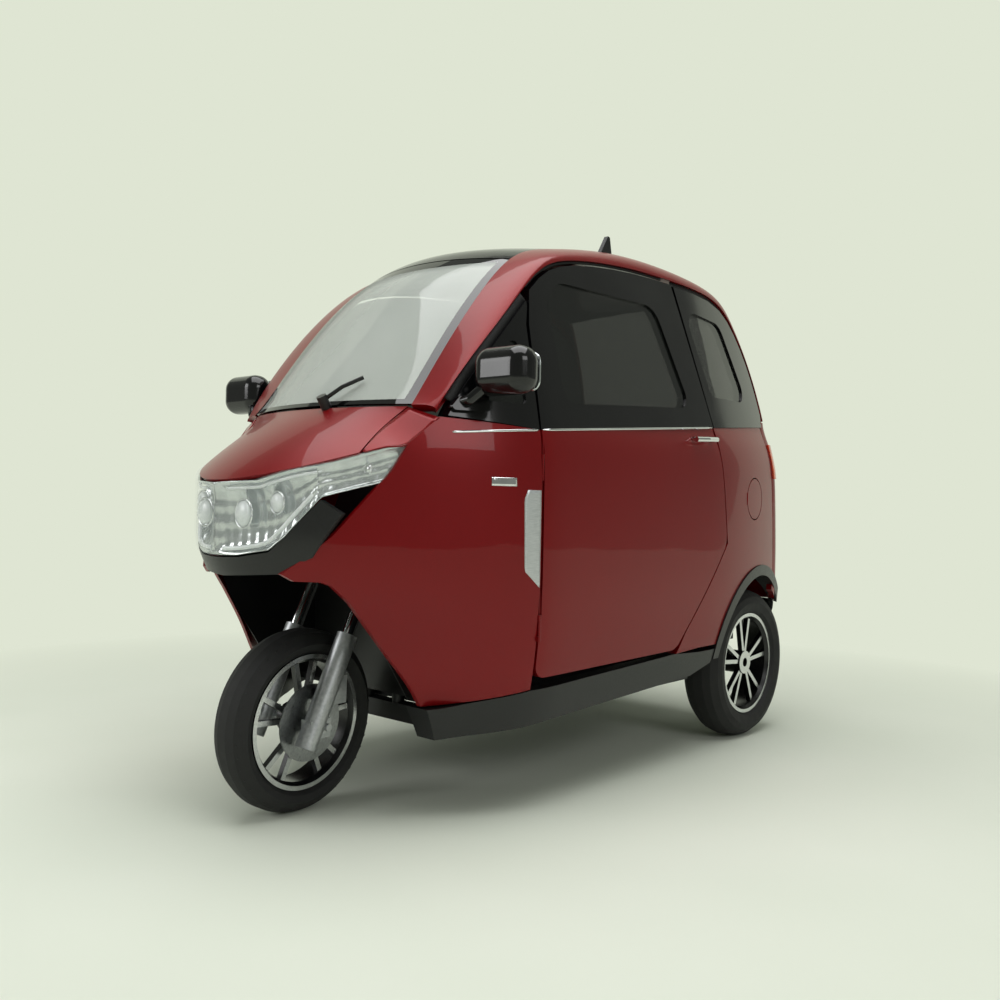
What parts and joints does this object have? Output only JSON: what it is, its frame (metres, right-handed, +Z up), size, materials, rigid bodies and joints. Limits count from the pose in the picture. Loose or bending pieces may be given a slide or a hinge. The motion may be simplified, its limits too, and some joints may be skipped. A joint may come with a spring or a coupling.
{
  "type": "electric cabin scooter, enclosed three-wheeler",
  "caption": "Enclosed red electric three-wheeler with two doors, one steered front wheel on a fork and two rear wheels.",
  "frame": {"origin": "on the floor at the middle of the box round the vehicle", "axes": "-Y ahead, +X to the vehicle's left, +Z up"},
  "size_m": [1.176, 2.0528, 1.5923],
  "materials": {
    "red_paint": "gloss metallic",
    "gloss_black": "gloss",
    "black_plastic": "satin",
    "glass": "clear",
    "lamp_grey": "gloss",
    "lamp_red": "gloss",
    "black_steel": "satin",
    "silver_cast": "satin",
    "chrome": "polished",
    "alloy": "machined",
    "disc_steel": "brushed",
    "tyre": "matte",
    "seat_vinyl": "satin"
  },
  "bodies": {
    "cab": {"chassis_frame": "black_steel", "floor_pan": "black_plastic", "rear_tub": "black_plastic", "battery_pack": "black_steel", "bonnet": "red_paint", "headlamp_lens": "glass", "headlamp_housing": "lamp_grey", "nose_panel": "black_plastic", "fender_left": "red_paint", "fender_right": "red_paint", "front_shroud": "black_plastic", "dashboard": "black_plastic", "roof_panel": "gloss_black", "windshield": "glass", "rear_window": "glass", "tail_panel": "red_paint", "rear_bumper": "black_plastic", "tail_lamps": "lamp_red", "roof_rail_left": "red_paint", "roof_rail_right": "red_paint", "front_frames": "gloss_black", "rear_frames": "gloss_black", "quarter_panel_left": "red_paint", "quarter_panel_right": "red_paint", "sills": "black_plastic", "arch_trims": "black_plastic", "side_glass": "glass", "wiper": "black_plastic", "antenna": "black_plastic", "driver_seat": "seat_vinyl", "rear_bench": "seat_vinyl", "mirrors": "gloss_black", "rear_axle": "black_steel"},
    "steering": {"fork_sliders": "silver_cast", "fork_upper": "chrome", "handlebar": "black_steel"},
    "front_wheel": {"front_tyre": "tyre", "front_rim": "alloy", "brake_disc": "disc_steel"},
    "rear_wheel_left": {"rear_tyre_left": "tyre", "rear_rim_left": "alloy"},
    "rear_wheel_right": {"rear_tyre_right": "tyre", "rear_rim_right": "alloy"},
    "door_left": {"door_panel_left": "red_paint", "door_frame_left": "gloss_black", "door_glass_left": "glass", "door_handle_left": "chrome"},
    "door_right": {"door_panel_right": "red_paint", "door_frame_right": "gloss_black", "door_glass_right": "glass", "door_handle_right": "chrome"},
    "charge_flap": {"charge_flap": "red_paint"}
  },
  "joints": [
    {"name": "steering", "type": "hinge", "parent": "cab", "child": "steering", "pos_m": [0, -0.851, 0], "axis": [0, 0.4226, 0.9063], "range_deg": [-44.65, 35.35]},
    {"name": "front_wheel_spin", "type": "hinge", "parent": "steering", "child": "front_wheel", "pos_m": [0.00183, -0.77093, 0.22497], "axis": [0.9967, 0.0735, -0.0343], "continuous": true},
    {"name": "rear_wheel_left_spin", "type": "hinge", "parent": "cab", "child": "rear_wheel_left", "pos_m": [0.376, 0.779, 0.247], "axis": [1, 0, 0], "continuous": true},
    {"name": "rear_wheel_right_spin", "type": "hinge", "parent": "cab", "child": "rear_wheel_right", "pos_m": [-0.376, 0.779, 0.247], "axis": [1, 0, 0], "continuous": true},
    {"name": "door_left_hinge", "type": "hinge", "parent": "cab", "child": "door_left", "pos_m": [0.49, -0.4225, 0.665], "axis": [0, 0, -1], "range_deg": [0, 70]},
    {"name": "door_right_hinge", "type": "hinge", "parent": "cab", "child": "door_right", "pos_m": [-0.49, -0.4225, 0.665], "axis": [0, 0, 1], "range_deg": [0, 70]},
    {"name": "charge_flap_hinge", "type": "hinge", "parent": "cab", "child": "charge_flap", "pos_m": [0.48435, 0.641, 0.8], "axis": [0, 0, -1], "range_deg": [0, 95]}
  ]
}
